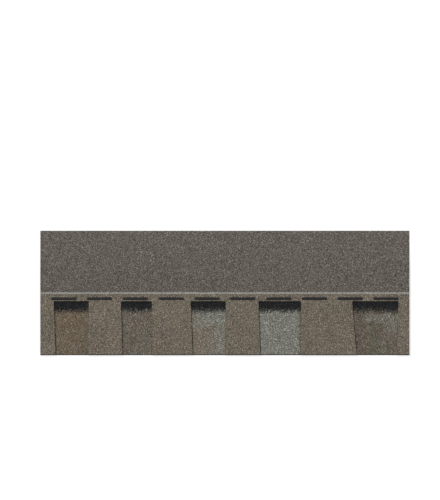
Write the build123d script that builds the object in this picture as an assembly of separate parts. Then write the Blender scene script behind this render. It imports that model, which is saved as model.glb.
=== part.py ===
"""Laminated asphalt roof shingle, lying face up on a level floor.

It is two sheets of granule-faced asphalt on glass mat, bonded to each other by beads of asphalt adhesive.
The top sheet is cut into flared tabs along its lower half. The backer strip lies under the tabs and shows
through the cut-outs between them. The upper half of the top sheet, the headlap, is single and limp, so it
sinks from the backer's level to the floor.

Millimetres. +X runs along the course, +Y up the roof slope, from the butt edge to the upper edge, and +Z
out of the granule face. The origin is the middle of the outline, on the floor.
"""

import os

from build123d import *

# Outline and layers
shingle_length = 1000.0
exposure = 143.0  # the height of each course that stays in view on a roof
headlap = 51.0  # what a third course still covers of the first
sheet_thickness = 2.4
glue_thickness = 0.4

# Cut-outs between the tabs
root_cover = 3.0  # how far the cut-outs run up past the exposure
die_corner_radius = 2.0
# For each cut-out: its left and right corner along the root, as shares of the shingle's length, and how far
# its left and right side lean inwards on the way down to the butt edge, as shares of the tab's depth.
cut_out_shares = (
    (0.037, 0.131, 0.034, 0.017),
    (0.219, 0.302, 0.030, 0.000),
    (0.408, 0.502, 0.036, 0.006),
    (0.591, 0.706, 0.040, 0.006),
    (0.845, 0.970, 0.083, 0.032),
)

# Common bond: the strip above the cut-outs where both sheets lie on each other all along, and take the nails
bond_width = 32.0

# Adhesive beads between the sheets, pressed flat
bead_width = 6.0
bead_inset = 4.0  # from a sheet's edge to the bead
bond_bead_shares = (0.25, 0.75)  # of the bond's width
bond_bead_names = ("lower", "upper")

# Self-seal dashes on the face, which the next course sticks to
dash_length = 70.0
dash_space = 27.0
dash_width = 9.0
dash_thickness = 0.9
dash_clear = 2.5  # from the cut-outs' roots to the dashes
dash_end_margin = 14.0
dash_bevel_share = 0.6  # of the dash's thickness

# Release film under the headlap, which keeps the dashes of the next shingle in a bundle from sticking
film_width = 25.0
film_thickness = 0.1
film_clear = 2.0  # from the film to the backer's upper edge, and on to the bend

# The part of the headlap that lies on the floor, measured from the upper edge
resting_width = 30.0

overrun = 5.0  # how far a cutting shape runs past what it cuts

# Sizes that follow
shingle_width = 2 * exposure + headlap
tab_depth = exposure + root_cover
backer_width = tab_depth + bond_width
top_underside = sheet_thickness + glue_thickness
top_face = top_underside + sheet_thickness
bend_start = backer_width + film_clear + film_width + film_clear
bend_end = shingle_width - resting_width
centre_on_origin = Pos(-shingle_length / 2, -shingle_width / 2, 0)


def side_of(cut_out, right, height):
    """Where a cut-out's left or right side stands along the shingle, at a height above the butt edge."""
    root_left, root_right, lean_left, lean_right = cut_out
    below_root = tab_depth - height
    if right:
        return root_right * shingle_length - lean_right * below_root
    return root_left * shingle_length + lean_left * below_root


def top_sheet_blank():
    """The uncut top sheet: level over the backer, then two equal tangent arcs down to the floor."""
    bend_middle = ((bend_start + bend_end) / 2, top_underside / 2)
    with BuildSketch(Plane.YZ) as section:
        with BuildLine():
            over_backer = Line((0, top_underside), (bend_start, top_underside))
            sinking = TangentArc(over_backer @ 1, bend_middle, tangent=over_backer % 1)
            landing = TangentArc(sinking @ 1, (bend_end, 0), tangent=sinking % 1)
            Line(landing @ 1, (shingle_width, 0))
            offset(amount=sheet_thickness, side=Side.LEFT)
        make_face()
    return extrude(section.sketch, amount=shingle_length)


def cut_out_tool(cut_out):
    """The die for one cut-out, with rounded corners at the root, running out past the butt edge."""
    outline = Polygon(
        (side_of(cut_out, False, -overrun), -overrun),
        (side_of(cut_out, True, -overrun), -overrun),
        (side_of(cut_out, True, tab_depth), tab_depth),
        (side_of(cut_out, False, tab_depth), tab_depth),
        align=None,
    )
    roots = outline.vertices().sort_by(Axis.Y)[-2:]
    outline = fillet(roots, die_corner_radius)
    through = sheet_thickness + 2 * overrun
    return Pos(Z=top_underside - overrun) * extrude(outline, amount=through)


def top_sheet():
    return top_sheet_blank() - [cut_out_tool(cut_out) for cut_out in cut_out_shares]


def backer_strip():
    return Box(shingle_length, backer_width, sheet_thickness, align=Align.MIN)


def flat_bead(left, right, middle):
    """One adhesive bead between the sheets, along the shingle at a height above the butt edge."""
    outline = SlotOverall(right - left, bead_width)
    return Pos((left + right) / 2, middle, sheet_thickness) * extrude(outline, amount=glue_thickness)


def bond_beads():
    """The two long beads in the common bond."""
    beads = {}
    for name, share in zip(bond_bead_names, bond_bead_shares):
        middle = tab_depth + share * bond_width
        beads[f"bond_bead_{name}"] = flat_bead(bead_inset, shingle_length - bead_inset, middle)
    return beads


def tab_beads():
    """Two short beads under each tab, one near the butt edge and one half way up."""
    beads = {}
    heights = {"butt": bead_inset + bead_width / 2, "middle": tab_depth / 2}
    for number in range(len(cut_out_shares) + 1):
        for place, middle in heights.items():
            ends = (middle - bead_width / 2, middle + bead_width / 2)
            left, right = 0, shingle_length
            if number > 0:
                left = max(side_of(cut_out_shares[number - 1], True, end) for end in ends)
            if number < len(cut_out_shares):
                right = min(side_of(cut_out_shares[number], False, end) for end in ends)
            beads[f"tab_{number + 1}_bead_{place}"] = flat_bead(left + bead_inset, right - bead_inset, middle)
    return beads


def seal_dashes():
    """A row of flat dashes with bevelled rims just above the cut-outs, centred on the shingle's length."""
    pitch = dash_length + dash_space
    count = int((shingle_length - 2 * dash_end_margin + dash_space) // pitch)
    dash = extrude(SlotOverall(dash_length, dash_width), amount=dash_thickness)
    rim = dash.faces().sort_by(Axis.Z)[-1].edges()
    dash = chamfer(rim, dash_bevel_share * dash_thickness)
    middle = tab_depth + dash_clear + dash_width / 2
    dashes = {}
    for number in range(count):
        along = shingle_length / 2 + (number - (count - 1) / 2) * pitch
        dashes[f"seal_dash_{number + 1:02d}"] = Pos(along, middle, top_face) * dash
    return dashes


def release_film():
    strip = Box(shingle_length, film_width, film_thickness, align=(Align.MIN, Align.MIN, Align.MAX))
    return Pos(0, backer_width + film_clear, top_underside) * strip


pieces = {
    "top_sheet": top_sheet(),
    "backer_strip": backer_strip(),
    **bond_beads(),
    **tab_beads(),
    **seal_dashes(),
    "release_film": release_film(),
}
os.makedirs("parts", exist_ok=True)
for node, piece in pieces.items():
    export_step(centre_on_origin * piece, os.path.join("parts", f"{node}.step"))
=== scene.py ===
"""One laminated asphalt roof shingle, lying face up on a pale floor and seen from straight above.

The beads and the film are the solids themselves, and the two sheets are copies of theirs with worn rims.
What the plant puts on them is added: the coloured mineral granules, the nail line and the seal dashes.
Metres. +X runs along the course, +Y up the roof slope and +Z out of the granule face.
"""

import math

import bmesh
import bpy
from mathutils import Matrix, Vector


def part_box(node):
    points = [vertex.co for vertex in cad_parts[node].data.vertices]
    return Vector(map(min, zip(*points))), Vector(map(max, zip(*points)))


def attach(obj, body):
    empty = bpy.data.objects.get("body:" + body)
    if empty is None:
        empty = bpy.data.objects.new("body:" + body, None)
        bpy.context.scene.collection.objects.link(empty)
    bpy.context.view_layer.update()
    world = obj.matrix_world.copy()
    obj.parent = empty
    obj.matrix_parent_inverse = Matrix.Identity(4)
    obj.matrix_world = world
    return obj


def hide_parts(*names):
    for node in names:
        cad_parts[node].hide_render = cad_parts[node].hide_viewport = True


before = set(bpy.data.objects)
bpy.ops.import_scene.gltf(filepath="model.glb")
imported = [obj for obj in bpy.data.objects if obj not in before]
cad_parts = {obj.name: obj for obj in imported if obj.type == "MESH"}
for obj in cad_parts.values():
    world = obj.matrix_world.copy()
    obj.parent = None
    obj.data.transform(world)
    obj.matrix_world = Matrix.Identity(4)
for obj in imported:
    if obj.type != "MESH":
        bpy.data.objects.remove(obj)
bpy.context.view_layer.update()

# Backer strip
# The lower of the two sheets: glass mat soaked in asphalt, with crushed stone rolled into its face while it
# is hot. Drops of brown, silver and olive stone fall on it in the plant, so each cut-out of the sheet above
# shows another blend, under a band of blue-black stone that deepens the shadow of the tabs.

sheet_low, sheet_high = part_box("top_sheet")
left_end, butt_edge = sheet_low.x, sheet_low.y
exposure = 0.143  # the height of each course that stays in view


def add(tree, kind, feeds=None, **settings):
    """A new node. feeds gives the inputs, by name or place: each takes a value or another node's output."""
    node = tree.nodes.new(kind)
    for name, value in settings.items():
        setattr(node, name, value)
    for place, value in (feeds or {}).items():
        if isinstance(value, bpy.types.NodeSocket):
            tree.links.new(value, node.inputs[place])
        else:
            node.inputs[place].default_value = value
    return node


def sums(tree, operation, *terms, clamp=False):
    """The result of one sum on numbers or outputs."""
    node = add(tree, "ShaderNodeMath", dict(enumerate(terms)), operation=operation, use_clamp=clamp)
    return node.outputs[0]


def vectors(tree, operation, *terms):
    """The result of one sum on vectors."""
    return add(tree, "ShaderNodeVectorMath", dict(enumerate(terms)), operation=operation).outputs[0]


def noise(tree, scale, detail, dimensions="3D", **feeds):
    """A cloudy noise. scale is the number of clouds to a metre, and detail how far each is broken up."""
    feeds.update(Scale=scale, Detail=detail)
    return add(tree, "ShaderNodeTexNoise", feeds, noise_dimensions=dimensions)


def tint(red, green, blue):
    """A colour for a shader, from the three numbers that a screen would show it by."""
    parts = [value / 255 for value in (red, green, blue)]
    return (*[v / 12.92 if v <= 0.04045 else ((v + 0.055) / 1.055) ** 2.4 for v in parts], 1.0)


# The stones of a blend, from the darkest to the palest: the share of each, how light it is beside the
# blend's own colour, and how far it is washed out to grey.
stone_mix = (
    (0.08, 0.45, 0.3),
    (0.23, 0.76, 0.0),
    (0.34, 1.03, 0.0),
    (0.22, 1.25, 0.0),
    (0.09, 1.45, 0.4),
    (0.04, 1.98, 0.5),
)


def weigh_out(tree, chance, colour, mix=stone_mix):
    """A blend as the plant weighs it out: each granule is one of its stones, as often as its share says."""
    node = add(tree, "ShaderNodeValToRGB", {"Fac": chance})
    ramp = node.color_ramp
    ramp.interpolation = "CONSTANT"
    ramp.elements.remove(ramp.elements[1])
    grey = sum(colour) / len(colour)
    filled = 0.0
    for number, (share, lightness, washed) in enumerate(mix):
        stop = ramp.elements[0] if number == 0 else ramp.elements.new(filled)
        stop.position = filled
        stop.color = tint(*[lightness * (part + washed * (grey - part)) for part in colour])
        filled += share
    return node.outputs["Color"]


def stir(tree, chosen, under, over):
    """One stone or another: over where chosen is 1, under where it is 0."""
    node = add(tree, "ShaderNodeMix", {0: chosen}, data_type="RGBA")
    tree.links.new(under, node.inputs["A"])
    tree.links.new(over, node.inputs["B"])
    return next(out for out in node.outputs if out.type == "RGBA")


def new_tree(tree_kind, name, inputs, output):
    """A tree with the named sockets: itself, its inputs by name and the socket that its result goes to."""
    tree = bpy.data.node_groups.new(name, tree_kind)
    for side, sockets in (("INPUT", inputs), ("OUTPUT", [output])):
        for socket_name, kind in sockets:
            tree.interface.new_socket(socket_name, in_out=side, socket_type="NodeSocket" + kind)
    return tree, tree.nodes.new("NodeGroupInput").outputs, tree.nodes.new("NodeGroupOutput").inputs[0]


drop_corner = 0.02  # how softly a drop's ends run into its sides
edge_thickness = 0.5


def colour_drop():
    """How thickly a drop of stone lies at a granule's seat: 1 inside an oblong, falling to 0 round it."""
    sockets = [("Seat", "Vector"), ("Along", "Float"), ("Up", "Float"), ("Half Length", "Float"),
               ("Half Height", "Float"), ("Turn", "Float"), ("Fade", "Float")]
    tree, given, result = new_tree("ShaderNodeTree", "colour drop", sockets, ("Thickness", "Float"))
    middle = add(tree, "ShaderNodeCombineXYZ", {0: given["Along"], 1: given["Up"]}).outputs[0]
    turned = add(tree, "ShaderNodeVectorRotate", {
        "Vector": given["Seat"], "Center": middle, "Angle": given["Turn"]}, rotation_type="Z_AXIS")
    away = add(tree, "ShaderNodeSeparateXYZ", {0: vectors(tree, "SUBTRACT", turned.outputs[0], middle)})
    past_end = sums(tree, "SUBTRACT", sums(tree, "ABSOLUTE", away.outputs[0]), given["Half Length"])
    past_top = sums(tree, "SUBTRACT", sums(tree, "ABSOLUTE", away.outputs[1]), given["Half Height"])
    past = sums(tree, "SMOOTH_MAX", past_end, past_top, drop_corner)
    faded = sums(tree, "DIVIDE", past, given["Fade"])
    tree.links.new(sums(tree, "SUBTRACT", edge_thickness, faded, clamp=True), result)
    return tree


drop_group = colour_drop()

plain_backer = (96, 87, 75)
brown = (108, 94, 75)
taupe = (118, 109, 95)
silver = (123, 124, 115)
umber = (92, 83, 74)
olive = (92, 89, 74)
charcoal = (58, 56, 53)
blue_black = (19, 20, 22)

stray_lots = ((102, 100, 81), (111, 100, 93), (117, 101, 84))  # mossy, mauve and russet
stray_share = 0.40
stray_clouds, stray_detail = 33.0, 1.0
stray_from, stray_full = 0.48, 0.68
redraw, redraw_step = 17.0, 6.0  # what a granule's pick is multiplied by, for a fresh pick in each lot
clouds_apart = 3.0


def strays(tree, seat, chance, pick, colour):
    """Stray stones of other lots, which turn some patches of a blend a little greener or redder."""
    for number, lot in enumerate(stray_lots):
        own_pick = sums(tree, "FRACT", sums(tree, "MULTIPLY", pick, redraw + number * redraw_step))
        cloud = noise(tree, stray_clouds, stray_detail, "4D", Vector=seat, W=number * clouds_apart)
        thickness = add(tree, "ShaderNodeMapRange", {
            "Value": cloud.outputs["Fac"], "From Min": stray_from, "From Max": stray_full,
            "To Max": stray_share})
        chosen = sums(tree, "LESS_THAN", own_pick, thickness.outputs[0])
        colour = stir(tree, chosen, colour, weigh_out(tree, chance, lot))
    return colour


# Each drop: the blend, the share of the stones inside it that are its own, its middle from the left end and
# the butt edge, half its length and height, how far it is turned, in radians, and how wide its edge fades.
# The early drops lie under the strays and the late ones on them.
early_drops = (
    (brown, 1.0, 0.082, 0.080, 0.054, 0.110, 0.22, 0.034),
    (taupe, 1.0, 0.446, 0.040, 0.070, 0.075, 0.10, 0.030),
    (umber, 1.0, 0.870, 0.060, 0.026, 0.100, 0.03, 0.022),
    (olive, 1.0, 0.899, 0.038, 0.019, 0.052, 0.02, 0.024),
    (olive, 1.0, 0.934, 0.008, 0.030, 0.012, 0.00, 0.024),
)
late_drops = (
    (silver, 0.15, 0.262, 0.070, 0.060, 0.110, 0.00, 0.030),
    (silver, 0.86, 0.470, 0.103, 0.052, 0.021, -0.06, 0.030),
    (silver, 0.86, 0.490, 0.050, 0.013, 0.090, -0.05, 0.050),
    (silver, 0.86, 0.648, 0.070, 0.078, 0.110, 0.00, 0.030),
    # this thin umber strip is painted shade at the foot of the tab edge beside the fourth cut-out
    (umber, 0.86, 0.709, 0.060, 0.006, 0.110, 0.00, 0.014),
    (silver, 0.62, 0.927, 0.101, 0.050, 0.007, -0.05, 0.012),
    (silver, 0.58, 0.952, 0.086, 0.018, 0.022, 0.10, 0.026),
    (silver, 0.10, 0.947, 0.035, 0.024, 0.045, 0.00, 0.024),
)
drop_wander = 0.022  # how far clouds push a drop's edge about
drop_clouds, drop_detail = 38.0, 2.0
half_way = (0.5, 0.5, 0.5)

# The shadow band is two layers, each with its blend and that blend's stones, and how far below the top of
# the exposure they begin to thin out and are all gone. The edge of both wavers.
band_mix = ((0.36, 0.50, 0.0), (0.38, 0.95, 0.0), (0.17, 1.60, 0.0), (0.09, 3.20, 0.2))
band_layers = (
    (charcoal, stone_mix, 0.012, 0.032),
    (blue_black, band_mix, 0.008, 0.027),
)
band_waver = 0.003
band_clouds, band_detail = 42.0, 3.0
band_thinning = 2.0  # the power by which the stones thin out

granule_sockets = [("Seat", "Vector"), ("Chance", "Float"), ("Pick", "Float")]
granule_colour = ("Color", "Color")


def backer_colours():
    """The stone at a granule's seat on the backer: the plain blend, drops and strays on it, the band."""
    tree, given, result = new_tree("ShaderNodeTree", "backer colours", granule_sockets, granule_colour)
    chance, pick = given["Chance"], given["Pick"]
    cloud = noise(tree, drop_clouds, drop_detail, "2D", Vector=given["Seat"])
    centred = vectors(tree, "SUBTRACT", cloud.outputs["Color"], half_way)
    shift = add(tree, "ShaderNodeVectorMath", {0: centred, "Scale": drop_wander}, operation="SCALE")
    wandered = vectors(tree, "ADD", given["Seat"], shift.outputs[0])

    def lay(drops, colour):
        """The stone at the seat once these drops have fallen on what lay there."""
        for blend, cover, along, up, half_length, half_height, turn, fade in drops:
            drop = add(tree, "ShaderNodeGroup", node_tree=drop_group)
            tree.links.new(wandered, drop.inputs["Seat"])
            for name, value in (("Along", left_end + along), ("Up", butt_edge + up),
                                ("Half Length", half_length), ("Half Height", half_height),
                                ("Turn", turn), ("Fade", fade)):
                drop.inputs[name].default_value = value
            chosen = sums(tree, "LESS_THAN", pick, sums(tree, "MULTIPLY", drop.outputs[0], cover))
            colour = stir(tree, chosen, colour, weigh_out(tree, chance, blend))
        return colour

    colour = lay(early_drops, weigh_out(tree, chance, plain_backer))
    colour = strays(tree, given["Seat"], chance, pick, colour)
    colour = lay(late_drops, colour)
    place = add(tree, "ShaderNodeSeparateXYZ", {0: given["Seat"]})
    edge = noise(tree, band_clouds, band_detail, "1D", W=place.outputs[0])
    wavering = sums(tree, "MULTIPLY_ADD", edge.outputs["Fac"], 2 * band_waver, place.outputs[1])
    band_top = butt_edge + exposure + band_waver
    for blend, mix, thins, gone in band_layers:
        thinned = add(tree, "ShaderNodeMapRange", {
            "Value": wavering, "From Min": band_top - thins, "From Max": band_top - gone})
        left_bare = sums(tree, "POWER", thinned.outputs[0], band_thinning)
        chosen = sums(tree, "GREATER_THAN", pick, left_bare)
        colour = stir(tree, chosen, colour, weigh_out(tree, chance, blend, mix))
    tree.links.new(colour, result)
    return tree


fine_grain = 0.0012
fine_relief = 0.0004
facet_tilt, crown_fall = 1.2, 0.9


def granule_bed(tree):
    """Fine granules rolled into a sheet: each one's seat, two numbers of its own and its height."""
    spot = add(tree, "ShaderNodeTexCoord").outputs["Object"]
    cell = add(tree, "ShaderNodeTexVoronoi", {"Vector": spot, "Scale": 1 / fine_grain},
               voronoi_dimensions="2D")
    numbers = add(tree, "ShaderNodeSeparateColor", {0: cell.outputs["Color"]})
    away = vectors(tree, "SUBTRACT", spot, cell.outputs["Position"])
    lean = vectors(tree, "SUBTRACT", cell.outputs["Color"], half_way)
    facet = add(tree, "ShaderNodeVectorMath", {0: away, 1: lean}, operation="DOT_PRODUCT").outputs["Value"]
    crown = sums(tree, "MULTIPLY", sums(tree, "POWER", cell.outputs["Distance"], 2.0), -crown_fall)
    height = sums(tree, "MULTIPLY_ADD", facet, facet_tilt / fine_grain, crown)
    return cell.outputs["Position"], numbers.outputs[0], numbers.outputs[1], height


def new_finish(name):
    """A bare material, with its tree and its shader."""
    finish = bpy.data.materials.new(name)
    finish.use_nodes = True
    return finish, finish.node_tree, finish.node_tree.nodes["Principled BSDF"]


def two_tone(tree, amount, low, high):
    """A colour that runs from one tone to another. low and high each give an amount and the tone there."""
    node = add(tree, "ShaderNodeValToRGB", {"Fac": amount})
    for stop, (position, colour) in zip(node.color_ramp.elements, (low, high)):
        stop.position, stop.color = position, tint(*colour)
    return node.outputs["Color"]


level_face = 0.985  # how nearly a face looks straight up or down, for granules or dusting to lie on it
worn_and_shaded_butt_strip = 0.0026  # up to where the butt edge is bare: worn granules, and a dark strip widened as painted shade
dust_specks, speck_detail = 900.0, 3.0
dust_clouds, cloud_detail, cloud_weight = 14.0, 4.0, 0.5
# The tones of the back and of the cut edges, each with the amount of dust or specks at which it is reached
bare_back, dusted_back = (0.55, (28, 27, 26)), (1.0, (96, 94, 90))
fresh_core, dull_core = (0.35, (14, 13, 13)), (0.75, (46, 43, 40))
dullest_stone, shiniest_stone = 0.95, 0.62  # roughness
stone_gloss = 0.3
core_grit = 0.35  # the relief of the cut edges, as a share of the granules'


def sheet_finish(name, colours):
    """A granule-faced sheet: stone on its face, black asphalt on its cut edges, dust on its back."""
    finish, tree, shader = new_finish(name)
    seat, chance, pick, height = granule_bed(tree)
    face = add(tree, "ShaderNodeGroup", {"Seat": seat, "Chance": chance, "Pick": pick}, node_tree=colours)
    spot = add(tree, "ShaderNodeTexCoord").outputs["Object"]
    specks = noise(tree, dust_specks, speck_detail, Vector=spot).outputs["Fac"]
    clouds = noise(tree, dust_clouds, cloud_detail, Vector=spot).outputs["Fac"]
    dust = sums(tree, "MULTIPLY_ADD", clouds, cloud_weight, specks)
    back = two_tone(tree, dust, bare_back, dusted_back)
    core = two_tone(tree, specks, fresh_core, dull_core)
    normal = add(tree, "ShaderNodeNewGeometry").outputs["True Normal"]
    facing = add(tree, "ShaderNodeSeparateXYZ", {0: normal})
    up = sums(tree, "GREATER_THAN", facing.outputs[2], level_face)
    down = sums(tree, "LESS_THAN", facing.outputs[2], -level_face)
    place = add(tree, "ShaderNodeSeparateXYZ", {0: seat})
    # granules lie only past the bare strip along the butt, which is partly wear and partly painted shade
    whole = sums(tree, "GREATER_THAN", place.outputs[1], butt_edge + worn_and_shaded_butt_strip)
    covered = sums(tree, "MULTIPLY", up, whole)
    bare = stir(tree, down, core, back)
    tree.links.new(stir(tree, covered, bare, face.outputs[0]), shader.inputs["Base Color"])
    rough = add(tree, "ShaderNodeMapRange", {
        "Value": chance, "To Min": dullest_stone, "To Max": shiniest_stone})
    tree.links.new(rough.outputs[0], shader.inputs["Roughness"])
    shader.inputs["Specular IOR Level"].default_value = stone_gloss
    grit = sums(tree, "MULTIPLY", specks, core_grit)
    rise = add(tree, "ShaderNodeMix", {"Factor": covered, "A": grit, "B": height}, data_type="FLOAT")
    bump = add(tree, "ShaderNodeBump", {"Height": rise.outputs[0], "Distance": fine_relief})
    tree.links.new(bump.outputs[0], shader.inputs["Normal"])
    return finish


def new_object(name, data):
    """A new object in the scene, at the origin."""
    thing = bpy.data.objects.new(name, data)
    bpy.context.scene.collection.objects.link(thing)
    return thing


def plain_piece(name, holder):
    """What a holder's modifiers make of its mesh, as an object with a plain mesh. The holder is removed."""
    made = holder.evaluated_get(bpy.context.evaluated_depsgraph_get())
    piece = new_object(name, bpy.data.meshes.new_from_object(made))
    holder.modifiers.clear()
    bpy.data.objects.remove(holder)
    return piece


weld = 0.00001
flat_angle = math.radians(0.05)
butt_rim_width = 0.0011
side_rim_share = 0.45
rim_steps = 2


def worn_sheet(name, node_name, finish):
    """A sheet's own shape with the rim of its face broken, where the cutters press the granules off it.

    The butt edge takes the knocks, so it is the most worn.
    """
    shape = bmesh.new()
    shape.from_mesh(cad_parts[node_name].data)
    bmesh.ops.remove_doubles(shape, verts=shape.verts, dist=weld)
    bmesh.ops.dissolve_limit(shape, angle_limit=flat_angle, verts=shape.verts, edges=shape.edges)
    shape.normal_update()
    wear = shape.edges.layers.float.new("bevel_weight_edge")
    for edge in shape.edges:
        slopes = sorted(face.normal.z for face in edge.link_faces)
        if slopes[-1] > level_face and abs(slopes[0]) < 1 - level_face:
            at_butt = all(corner.co.y < butt_edge + weld for corner in edge.verts)
            edge[wear] = 1.0 if at_butt else side_rim_share
    for face in shape.faces:
        face.smooth = False
    mesh = bpy.data.meshes.new(name)
    shape.to_mesh(mesh)
    shape.free()
    old_normals = mesh.attributes.get("custom_normal")
    if old_normals:
        mesh.attributes.remove(old_normals)
    mesh.materials.append(finish)
    holder = new_object(name + "_holder", mesh)
    rim = holder.modifiers.new("rim", "BEVEL")
    rim.limit_method, rim.width, rim.segments = "WEIGHT", butt_rim_width, rim_steps
    holder.modifiers.new("facets", "TRIANGULATE")
    sheet = plain_piece(name, holder)
    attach(sheet, "root")
    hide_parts(node_name)
    return sheet


backer_colour_group = backer_colours()
backer_face = sheet_finish("backer_face", backer_colour_group)
backer = worn_sheet("backer_sheet", "backer_strip", backer_face)

# Coarse granules in the cut-outs
# The largest stones of the backer's face, half sunk in the asphalt. They are crushed rock, so they are
# angular, and no two lie alike. Where the tabs cover the backer none are in view.

seats_tried = 3.0  # for each stone that finds room
stone_sides, stone_bands = 4, 2  # eight facets
least_shares = (0.75, 0.75, 0.60)  # of the stone size, along a stone's three axes
most_shares = (1.25, 1.25, 0.95)
most_tilt = 0.9
chip_share = 0.2
just_above = (0, 0, 0.0001)
cover_reach = 0.05  # how far up a cover is looked for
# Each stone has a cell of its own in a square map, for its colour to be baked into
map_fill = 0.8  # how much of its cell a stone takes up
cell_middle = (0.5, 0.5, 0.0)
size_draw, turn_draw, chance_draw, pick_draw, chip_draw = range(1, 6)


def crushed_stone_tree():
    """Scatters crushed stones over the upward faces of a sheet, inside a box and where no cover lies."""
    sockets = [("Sheet", "Object"), ("Cover", "Object"), ("Spacing", "Float"), ("Stone Size", "Float"),
               ("Rim Clear", "Float"), ("Lowest", "Vector"), ("Highest", "Vector"), ("Map Side", "Float"),
               ("Seed", "Int"), ("Finish", "Material")]
    tree, given, result = new_tree("GeometryNodeTree", "crushed stones", sockets, ("Stones", "Geometry"))
    tree.is_modifier = True

    def random(low, high, draw, kind="FLOAT_VECTOR"):
        """Another draw for each stone. The draw's number sets its seed apart from the other draws'."""
        seed = sums(tree, "ADD", given["Seed"], draw)
        node = add(tree, "FunctionNodeRandomValue", {"Seed": seed}, data_type=kind)
        ends = [socket for socket in node.inputs if socket.enabled and socket.name in ("Min", "Max")]
        ends[0].default_value, ends[1].default_value = low, high
        return next(socket for socket in node.outputs if socket.enabled)

    def keep(geometry, attribute, value, kind, domain):
        """The geometry with a value written on each of its points, corners or stones."""
        node = add(tree, "GeometryNodeStoreNamedAttribute", {"Geometry": geometry, "Name": attribute},
                   data_type=kind, domain=domain)
        tree.links.new(value, node.inputs["Value"])
        return node.outputs[0]

    def recall(attribute):
        """A vector that was written there before."""
        node = add(tree, "GeometryNodeInputNamedAttribute", {"Name": attribute}, data_type="FLOAT_VECTOR")
        return next(socket for socket in node.outputs if socket.enabled)

    def compare(operation, first, second):
        """Whether one vector is past another along all three axes."""
        node = add(tree, "FunctionNodeCompare", data_type="VECTOR", mode="ELEMENT", operation=operation)
        sides = [socket for socket in node.inputs if socket.enabled and socket.name in ("A", "B")]
        tree.links.new(first, sides[0])
        tree.links.new(second, sides[1])
        return node.outputs[0]

    def both(first, second, operation="AND"):
        """Two tests joined into one."""
        return add(tree, "FunctionNodeBooleanMath", {0: first, 1: second}, operation=operation).outputs[0]

    sheet = add(tree, "GeometryNodeObjectInfo", {"Object": given["Sheet"]}, transform_space="ORIGINAL")
    cover = add(tree, "GeometryNodeObjectInfo", {"Object": given["Cover"]}, transform_space="ORIGINAL")
    normal = add(tree, "ShaderNodeSeparateXYZ", {0: add(tree, "GeometryNodeInputNormal").outputs[0]})
    upward = sums(tree, "GREATER_THAN", normal.outputs[2], level_face)
    faces = add(tree, "GeometryNodeSeparateGeometry", {
        "Geometry": sheet.outputs["Geometry"], "Selection": upward}, domain="FACE")
    density = sums(tree, "DIVIDE", seats_tried, sums(tree, "POWER", given["Spacing"], 2.0))
    seats = add(tree, "GeometryNodeDistributePointsOnFaces", {
        "Mesh": faces.outputs["Selection"], "Distance Min": given["Spacing"], "Density Max": density,
        "Seed": given["Seed"]}, distribute_method="POISSON")

    place = add(tree, "GeometryNodeInputPosition").outputs[0]
    past_lowest = compare("GREATER_EQUAL", place, given["Lowest"])
    short_of_highest = compare("LESS_THAN", place, given["Highest"])
    inside = both(past_lowest, short_of_highest)
    above = vectors(tree, "ADD", place, just_above)
    roof = add(tree, "GeometryNodeRaycast", {
        "Target Geometry": cover.outputs["Geometry"], "Source Position": above,
        "Ray Direction": (0, 0, 1), "Ray Length": cover_reach})
    shown = both(inside, roof.outputs["Is Hit"], "NIMPLY")
    rim = add(tree, "GeometryNodeProximity", {0: faces.outputs["Inverted"]}, target_element="FACES")
    firm = both(shown, sums(tree, "GREATER_THAN", rim.outputs["Distance"], given["Rim Clear"]))
    kept = add(tree, "GeometryNodeSeparateGeometry", {
        "Geometry": seats.outputs["Points"], "Selection": firm}, domain="POINT")

    whole_stone = add(tree, "GeometryNodeMeshUVSphere", {
        "Segments": stone_sides, "Rings": stone_bands, "Radius": 1 / 2})
    shape = keep(whole_stone.outputs[0], "granule_corner", place, "FLOAT_VECTOR", "POINT")
    size = vectors(tree, "MULTIPLY", random(least_shares, most_shares, size_draw), given["Stone Size"])
    turn = random((-most_tilt, -most_tilt, 0.0), (most_tilt, most_tilt, 2 * math.pi), turn_draw)
    stones = add(tree, "GeometryNodeInstanceOnPoints", {
        "Points": kept.outputs[0], "Instance": shape, "Rotation": turn, "Scale": size}).outputs[0]
    stones = keep(stones, "granule_seat", place, "FLOAT_VECTOR", "INSTANCE")
    stones = keep(stones, "granule_chance", random(0.0, 1.0, chance_draw, "FLOAT"), "FLOAT", "INSTANCE")
    stones = keep(stones, "granule_pick", random(0.0, 1.0, pick_draw, "FLOAT"), "FLOAT", "INSTANCE")
    number = add(tree, "GeometryNodeInputIndex").outputs[0]
    row = sums(tree, "FLOOR", sums(tree, "DIVIDE", number, given["Map Side"]))
    column = sums(tree, "SUBTRACT", number, sums(tree, "MULTIPLY", row, given["Map Side"]))
    cell = add(tree, "ShaderNodeCombineXYZ", {0: column, 1: row}).outputs[0]
    stones = keep(stones, "granule_cell", cell, "FLOAT_VECTOR", "INSTANCE")
    stones = add(tree, "GeometryNodeRealizeInstances", {0: stones}).outputs[0]

    chips = random([-chip_share] * 3, [chip_share] * 3, chip_draw)
    chipped = add(tree, "GeometryNodeSetPosition", {
        "Geometry": stones, "Offset": vectors(tree, "MULTIPLY", chips, given["Stone Size"])}).outputs[0]
    in_cell = vectors(tree, "MULTIPLY", recall("granule_corner"), (map_fill, map_fill, 0.0))
    in_map = vectors(tree, "ADD", vectors(tree, "ADD", in_cell, recall("granule_cell")), cell_middle)
    map_size = add(tree, "ShaderNodeCombineXYZ", {0: given["Map Side"], 1: given["Map Side"], 2: 1.0})
    share_of_map = vectors(tree, "DIVIDE", in_map, map_size.outputs[0])
    mapped = keep(chipped, "OFBake", share_of_map, "FLOAT2", "CORNER")
    for spent in ("granule_corner", "granule_cell"):
        mapped = add(tree, "GeometryNodeRemoveAttribute", {"Geometry": mapped, "Name": spent}).outputs[0]
    facets = add(tree, "GeometryNodeSetShadeSmooth", {"Geometry": mapped, "Shade Smooth": False}).outputs[0]
    dressed = add(tree, "GeometryNodeSetMaterial", {"Geometry": facets, "Material": given["Finish"]})
    tree.links.new(dressed.outputs[0], result)
    return tree


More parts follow.
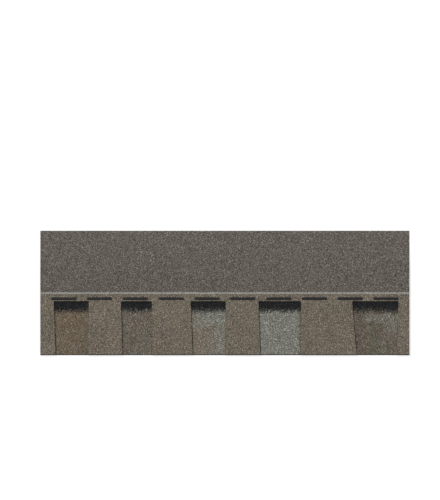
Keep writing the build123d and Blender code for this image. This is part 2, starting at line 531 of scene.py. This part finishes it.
def run_tree(name, mesh, tree, inputs):
    """The plain mesh that a tree makes, starting from a mesh, as a piece that rides on the shingle."""
    holder = new_object(name + "_holder", mesh)
    modifier = holder.modifiers.new(name, "NODES")
    modifier.node_group = tree
    for socket in tree.interface.items_tree:
        if socket.in_out == "INPUT" and socket.name in inputs:
            modifier[socket.identifier] = inputs[socket.name]
    piece = plain_piece(name, holder)
    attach(piece, "root")
    return piece


stone_tree = crushed_stone_tree()
stone_lot = {"Stone Size": 0.0015, "Rim Clear": 0.0003, "Map Side": 160.0}  # the side in stones
stone_roughness = 0.8
close_spacing = 0.00115


def scatter_stones(name, slot, **inputs):
    """One lot of loose stones."""
    return run_tree(name, bpy.data.meshes.new(name + "_start"), stone_tree, {**stone_lot, **inputs})


def stone_finish(name, colours):
    """A loose stone: one colour all over, chosen from the blend at the place where it lies."""
    finish, tree, shader = new_finish(name)
    seat = add(tree, "ShaderNodeAttribute", attribute_name="granule_seat").outputs["Vector"]
    chance = add(tree, "ShaderNodeAttribute", attribute_name="granule_chance").outputs["Fac"]
    pick = add(tree, "ShaderNodeAttribute", attribute_name="granule_pick").outputs["Fac"]
    face = add(tree, "ShaderNodeGroup", {"Seat": seat, "Chance": chance, "Pick": pick}, node_tree=colours)
    tree.links.new(face.outputs[0], shader.inputs["Base Color"])
    shader.inputs["Roughness"].default_value = stone_roughness
    shader.inputs["Specular IOR Level"].default_value = stone_gloss
    return finish


beyond = 0.001  # how far the boxes that hold the lots of stone run past the sheet
under_all, over_all = sheet_low.z - beyond, sheet_high.z + beyond
middle = 0.0
halves = (("left", left_end - beyond, middle), ("right", middle, sheet_high.x + beyond))
tab_depth = 0.146  # from the butt edge to the roots of the cut-outs
gap_seed = 11
backer_stones = stone_finish("backer_stones", backer_colour_group)
for side, start, end in halves:
    scatter_stones(
        "gap_granules_" + side, "backer_granules", Sheet=backer, Cover=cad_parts["top_sheet"],
        Spacing=close_spacing, Lowest=(start, butt_edge + worn_and_shaded_butt_strip, under_all),
        Highest=(end, butt_edge + tab_depth, over_all), Finish=backer_stones, Seed=gap_seed)

# Laminating beads
# Hot asphalt adhesive run on the backer and pressed flat by the top sheet: two long beads in the common
# bond and two short ones under each tab. They show only as a black line in the slit at the edges.

asphalt_detail = 4.0
asphalt_bump = 0.6
dusting = 16  # how much paler asphalt is where dust has settled on it
dusting_from, dusting_full = 0.40, 0.80
dulling = 0.25  # how much rougher it is there
dulling_from, dulling_full = 0.3, 0.7


def asphalt_finish(name, colour, roughness, wave, relief):
    """Bare asphalt: near black, smooth where it has flowed and dull where dust has settled."""
    finish, tree, shader = new_finish(name)
    spot = add(tree, "ShaderNodeTexCoord").outputs["Object"]
    flow = noise(tree, 1 / wave, asphalt_detail, Vector=spot).outputs["Fac"]
    dusty = [value + dusting for value in colour]
    tone = two_tone(tree, flow, (dusting_from, colour), (dusting_full, dusty))
    tree.links.new(tone, shader.inputs["Base Color"])
    rough = add(tree, "ShaderNodeMapRange", {
        "Value": flow, "From Min": dulling_from, "From Max": dulling_full,
        "To Min": roughness, "To Max": roughness + dulling})
    tree.links.new(rough.outputs[0], shader.inputs["Roughness"])
    bump = add(tree, "ShaderNodeBump", {"Height": flow, "Distance": relief, "Strength": asphalt_bump})
    tree.links.new(bump.outputs[0], shader.inputs["Normal"])
    return finish


bond_asphalt = asphalt_finish(
    "bond_asphalt", colour=(18, 17, 17), roughness=0.35, wave=0.004, relief=0.0005)
for name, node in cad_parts.items():
    if "bead" in name:
        node.data.materials.clear()
        node.data.materials.append(bond_asphalt)

# Top sheet
# The upper sheet, die-cut below into flared tabs and plain above, where the next courses cover it. The tabs
# and the common bond carry the taupe blend; the headlap gets plainer, greyer stone. A pale line is sprayed
# over the common bond to show where the nails go.

cool_tab = (111, 103, 89)
warm_tab = (117, 108, 94)
tab_clouds, tab_detail = 9.0, 3.0
warm_from, warm_full = 0.35, 0.65
plain_headlap = (98, 92, 84)
headlap_start = 0.163  # from the butt edge, as the nail line's middle is
headlap_fade = 0.010
nail_paint = (176, 176, 172)
paint_mix = ((0.35, 0.86, 0.0), (0.40, 1.00, 0.0), (0.25, 1.12, 0.0))
nail_line_middle = 0.168
nail_line_half = 0.0030
nail_line_fade = 0.0012
nail_line_cover = 0.8


def top_colours():
    """The stone at a granule's seat on the top sheet: taupe in faint patches, the headlap, the nail line."""
    tree, given, result = new_tree("ShaderNodeTree", "top sheet colours", granule_sockets, granule_colour)
    chance, pick = given["Chance"], given["Pick"]
    place = add(tree, "ShaderNodeSeparateXYZ", {0: given["Seat"]})
    up = sums(tree, "SUBTRACT", place.outputs[1], butt_edge)
    cloud = noise(tree, tab_clouds, tab_detail, "2D", Vector=given["Seat"])
    warm = add(tree, "ShaderNodeMapRange", {
        "Value": cloud.outputs["Fac"], "From Min": warm_from, "From Max": warm_full})
    chosen = sums(tree, "LESS_THAN", pick, warm.outputs[0])
    colour = stir(tree, chosen, weigh_out(tree, chance, cool_tab), weigh_out(tree, chance, warm_tab))
    colour = strays(tree, given["Seat"], chance, pick, colour)
    lap = add(tree, "ShaderNodeMapRange", {
        "Value": up, "From Min": headlap_start, "From Max": headlap_start + headlap_fade})
    chosen = sums(tree, "LESS_THAN", pick, lap.outputs[0])
    colour = stir(tree, chosen, colour, weigh_out(tree, chance, plain_headlap))
    aside = sums(tree, "ABSOLUTE", sums(tree, "SUBTRACT", up, nail_line_middle))
    sprayed = add(tree, "ShaderNodeMapRange", {
        "Value": aside, "From Min": nail_line_half, "From Max": nail_line_half - nail_line_fade,
        "To Max": nail_line_cover})
    chosen = sums(tree, "LESS_THAN", pick, sprayed.outputs[0])
    tree.links.new(stir(tree, chosen, colour, weigh_out(tree, chance, nail_paint, paint_mix)), result)
    return tree


top_colour_group = top_colours()
top_face = sheet_finish("top_face", top_colour_group)
top_sheet = worn_sheet("tab_sheet", "top_sheet", top_face)

# Seal dashes
# Soft asphalt that sticks to the next course once the sun has warmed it. It is run on hot in short dashes,
# so it stands in rounded strips that are a little uneven, and it stays glossy.

tip_share = 1.03  # over 1, so that a dash ends in a small blunt tip
flow_clouds, flow_detail = 130.0, 2.0
flow_from, flow_full = 0.25, 0.65
crown_points = 11
dash_step = 0.0015  # along a dash, from one section to the next
narrowest_share = 0.72


def seal_dash_tree():
    """Runs a strip of soft asphalt along each line: flat below, crowned above, with rounded ends."""
    sockets = [("Lines", "Geometry"), ("Width", "Float"), ("Height", "Float"), ("Step", "Float"),
               ("Narrowest", "Float"), ("Finish", "Material")]
    tree, given, result = new_tree("GeometryNodeTree", "seal dashes", sockets, ("Dashes", "Geometry"))
    tree.is_modifier = True
    half_width = sums(tree, "DIVIDE", given["Width"], 2.0)
    lines = add(tree, "GeometryNodeMeshToCurve", {0: given["Lines"]})
    run = add(tree, "GeometryNodeResampleCurve", {"Curve": lines.outputs[0]}, mode="LENGTH")
    tree.links.new(given["Step"], next(s for s in run.inputs if s.enabled and s.name == "Length"))
    passed = add(tree, "GeometryNodeSplineParameter").outputs["Length"]
    whole = add(tree, "GeometryNodeSplineLength").outputs["Length"]
    to_end = sums(tree, "MINIMUM", passed, sums(tree, "SUBTRACT", whole, passed))
    short_of_round = sums(tree, "SUBTRACT", 1.0, sums(tree, "DIVIDE", to_end, half_width, clamp=True))
    lost = sums(tree, "POWER", short_of_round, 2.0)
    rounded = sums(tree, "SQRT", sums(tree, "SUBTRACT", tip_share, lost))
    flow = noise(tree, flow_clouds, flow_detail)
    uneven = add(tree, "ShaderNodeMapRange", {
        "Value": flow.outputs["Fac"], "From Min": flow_from, "From Max": flow_full,
        "To Min": given["Narrowest"], "To Max": 1.0})
    girth = sums(tree, "MULTIPLY", rounded, uneven.outputs[0])
    crown = add(tree, "GeometryNodeCurveArc", {
        "Resolution": crown_points, "Start Angle": math.pi, "Sweep Angle": math.pi})
    closed = add(tree, "GeometryNodeSetSplineCyclic", {0: crown.outputs[0], "Cyclic": True})
    section_size = add(tree, "ShaderNodeCombineXYZ", {0: half_width, 1: given["Height"], 2: 1.0})
    section = add(tree, "GeometryNodeTransform", {0: closed.outputs[0], "Scale": section_size.outputs[0]})
    strips = add(tree, "GeometryNodeCurveToMesh", {
        "Curve": run.outputs[0], "Profile Curve": section.outputs[0], "Scale": girth, "Fill Caps": True})
    strips = add(tree, "GeometryNodeRealizeInstances", {0: strips.outputs[0]})
    dressed = add(tree, "GeometryNodeSetMaterial", {0: strips.outputs[0], "Material": given["Finish"]})
    tree.links.new(dressed.outputs[0], result)
    return tree


dash_nodes = [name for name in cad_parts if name.startswith("seal_dash")]
dash_ends = []
for name in dash_nodes:
    low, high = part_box(name)
    dash_ends += [(low.x, (low.y + high.y) / 2, low.z), (high.x, (low.y + high.y) / 2, low.z)]
dash_lines = [(number, number + 1) for number in range(0, len(dash_ends), 2)]
dash_start = bpy.data.meshes.new("dash_lines")
dash_start.from_pydata(dash_ends, dash_lines, [])
seal_asphalt = asphalt_finish(
    "seal_asphalt", colour=(12, 12, 12), roughness=0.28, wave=0.006, relief=0.0006)
seal_dashes = run_tree("seal_dashes", dash_start, seal_dash_tree(), {
    "Width": high.y - low.y, "Height": high.z - low.z, "Step": dash_step, "Narrowest": narrowest_share,
    "Finish": seal_asphalt})
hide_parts(*dash_nodes)

# Coarse granules on the top sheet
# The same crushed stone as on the backer. It lies close on the tabs and the common bond, and thinner on the
# headlap, where it is only there to keep the sun off until the next course is laid.

top_stones = stone_finish("top_stones", top_colour_group)
bond_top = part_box("backer_strip")[1].y
headlap_spacing = 0.0019
tab_seed, headlap_seed = 23, 37
for side, start, end in halves:
    scatter_stones(
        "tab_granules_" + side, "tab_granules", Sheet=top_sheet, Cover=seal_dashes, Spacing=close_spacing,
        Lowest=(start, butt_edge + worn_and_shaded_butt_strip, under_all), Highest=(end, bond_top, over_all),
        Finish=top_stones, Seed=tab_seed)
    scatter_stones(
        "headlap_granules_" + side, "tab_granules", Sheet=top_sheet, Spacing=headlap_spacing,
        Lowest=(start, bond_top, under_all), Highest=(end, sheet_high.y + beyond, over_all),
        Finish=top_stones, Seed=headlap_seed)

# Release film
# A thin strip of clear film on the back of the headlap. In a bundle the dashes of the next shingle lie on
# it. It is rolled on, so its creases run along the sheet.

clear_film, hazed_film = (0.3, (86, 87, 90)), (0.7, (122, 124, 128))
crease_clouds = (30.0, 220.0, 220.0)
crease_detail = 4.0
crease_depth = 0.0004
film_roughness = 0.18

film_finish, film_tree, film_shader = new_finish("release_film_finish")
film_spot = add(film_tree, "ShaderNodeTexCoord").outputs["Object"]
film_stretch = add(film_tree, "ShaderNodeMapping", {"Vector": film_spot, "Scale": crease_clouds})
film_cloud = noise(film_tree, 1.0, crease_detail, Vector=film_stretch.outputs[0])
film_crease = film_cloud.outputs["Fac"]
film_haze = two_tone(film_tree, film_crease, clear_film, hazed_film)
film_tree.links.new(film_haze, film_shader.inputs["Base Color"])
film_bump = add(film_tree, "ShaderNodeBump", {"Height": film_crease, "Distance": crease_depth})
film_tree.links.new(film_bump.outputs[0], film_shader.inputs["Normal"])
film_shader.inputs["Roughness"].default_value = film_roughness
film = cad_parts["release_film"]
film.data.materials.clear()
film.data.materials.append(film_finish)

# Floor, light and camera
# A plain near-white floor, one broad soft lamp from the upper left, an even sky, and a long lens that looks
# straight down on the face.

floor_half = 15.0
floor_grey = 0.40
floor_shine = 0.65  # what makes it white to the eye, with the lamp's light
floor_roughness = 0.9
corners = [(-floor_half, -floor_half, 0), (floor_half, -floor_half, 0), (floor_half, floor_half, 0),
           (-floor_half, floor_half, 0)]
floor_mesh = bpy.data.meshes.new("floor")
floor_mesh.from_pydata(corners, [], [(0, 1, 2, 3)])
floor = new_object("floor", floor_mesh)
floor_paint, floor_tree, floor_shader = new_finish("floor_paint")
floor_shader.inputs["Base Color"].default_value = (floor_grey, floor_grey, floor_grey, 1.0)
floor_shader.inputs["Roughness"].default_value = floor_roughness
floor_shader.inputs["Specular IOR Level"].default_value = 0.0
ray = add(floor_tree, "ShaderNodeLightPath")
seen = sums(floor_tree, "MAXIMUM", ray.outputs["Is Camera Ray"], ray.outputs["Is Glossy Ray"])
seen = sums(floor_tree, "MAXIMUM", seen, ray.outputs["Is Transmission Ray"])
floor_shader.inputs["Emission Color"].default_value = (1.0, 1.0, 1.0, 1.0)
shining = sums(floor_tree, "MULTIPLY", seen, floor_shine)
floor_tree.links.new(shining, floor_shader.inputs["Emission Strength"])
floor_mesh.materials.append(floor_paint)

sky_strength = 0.45
sky = bpy.data.worlds.new("sky")
bpy.context.scene.world = sky
sky.use_nodes = True
sky_light = sky.node_tree.nodes["Background"]
sky_light.inputs["Color"].default_value = (1.0, 1.0, 1.0, 1.0)
sky_light.inputs["Strength"].default_value = sky_strength

lamp_strength = 2.7
lamp_spread = math.radians(20)
lamp_height, lamp_bearing = math.radians(40), math.radians(140)
lamp_data = bpy.data.lights.new("key_lamp", "SUN")
lamp_data.energy, lamp_data.angle = lamp_strength, lamp_spread
lamp = new_object("key_lamp", lamp_data)
lamp.rotation_euler = (math.pi / 2 - lamp_height, 0, lamp_bearing + math.pi / 2)

lens, sensor = 150.0, 36.0
course_pixels = 52.8
metres_per_pixel = exposure / course_pixels
picture_width, picture_height = 440, 500
left_end_pixel, butt_edge_pixel = 40.25, 355.2
camera_data = bpy.data.cameras.new("camera")
camera_data.lens, camera_data.sensor_width = lens, sensor
camera = new_object("camera", camera_data)
camera.location = (
    left_end + (picture_width / 2 - left_end_pixel) * metres_per_pixel,
    butt_edge + (butt_edge_pixel - picture_height / 2) * metres_per_pixel,
    sheet_high.z + lens / sensor * picture_height * metres_per_pixel,
)
bpy.context.scene.camera = camera
bpy.context.scene.view_settings.view_transform = "Standard"
